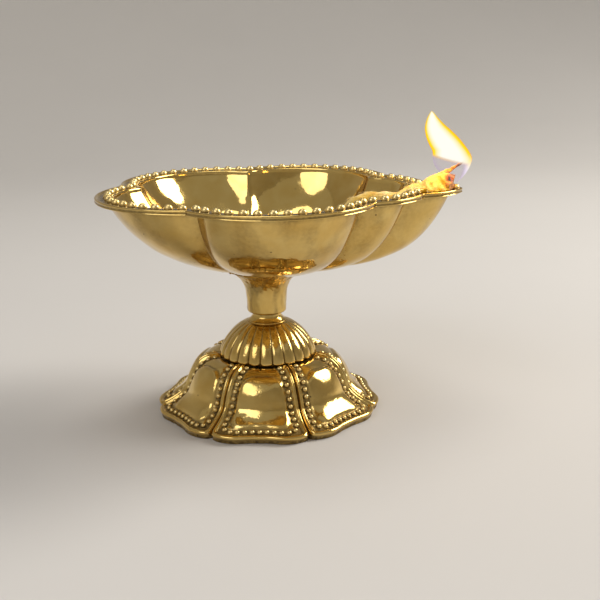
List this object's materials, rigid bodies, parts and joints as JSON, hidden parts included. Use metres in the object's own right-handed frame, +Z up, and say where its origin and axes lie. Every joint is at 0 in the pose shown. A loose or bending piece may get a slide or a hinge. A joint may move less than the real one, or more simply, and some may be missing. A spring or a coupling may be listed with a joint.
{
  "type": "oil lamp",
  "caption": "Brass puja lamp: lobed spouted bowl with a beaded flange on a trumpet stem, fluted dome and petal foot, with a burning cotton wick.",
  "frame": {"origin": "middle of the lamp's length and width, on the surface it stands on; the stem's axis is 8.1 mm towards -X", "axes": "+Z up, +X along the spout"},
  "size_m": [0.1202, 0.1114, 0.1009],
  "materials": {
    "cast_brass": "cast and polished, dark in the recesses",
    "turned_brass": "turned",
    "plain_brass": "unpolished, slightly tarnished",
    "cotton": "oil-soaked rolled cotton, charred at its end",
    "flame": "luminous, not a solid"
  },
  "bodies": {
    "base": {"petal_foot": "cast_brass", "dome": "cast_brass", "washer": "plain_brass", "nut": "plain_brass"},
    "stud": {"tie_stud": "turned_brass"},
    "bowl": {"bowl": "cast_brass", "stem": "cast_brass"},
    "wick": {"wick": "cotton", "flame": "flame"}
  },
  "joints": [
    {"name": "bowl_lift", "type": "slide", "parent": "base", "child": "stud", "axis": [0, 0, 1], "range_m": [0, 0.0063]},
    {"name": "bowl_turn", "type": "hinge", "parent": "stud", "child": "bowl", "pos_m": [-0.00809, 0, 0.048], "axis": [0, 0, 1], "range_deg": [0, 2250]},
    {"name": "wick_lift", "type": "slide", "parent": "bowl", "child": "wick", "axis": [0, 0, 1], "range_m": [0, 0.04]}
  ],
  "couplings": [
    {"joint": "bowl_lift", "follows": "bowl_turn", "m_per_rad": 0.00015915}
  ]
}
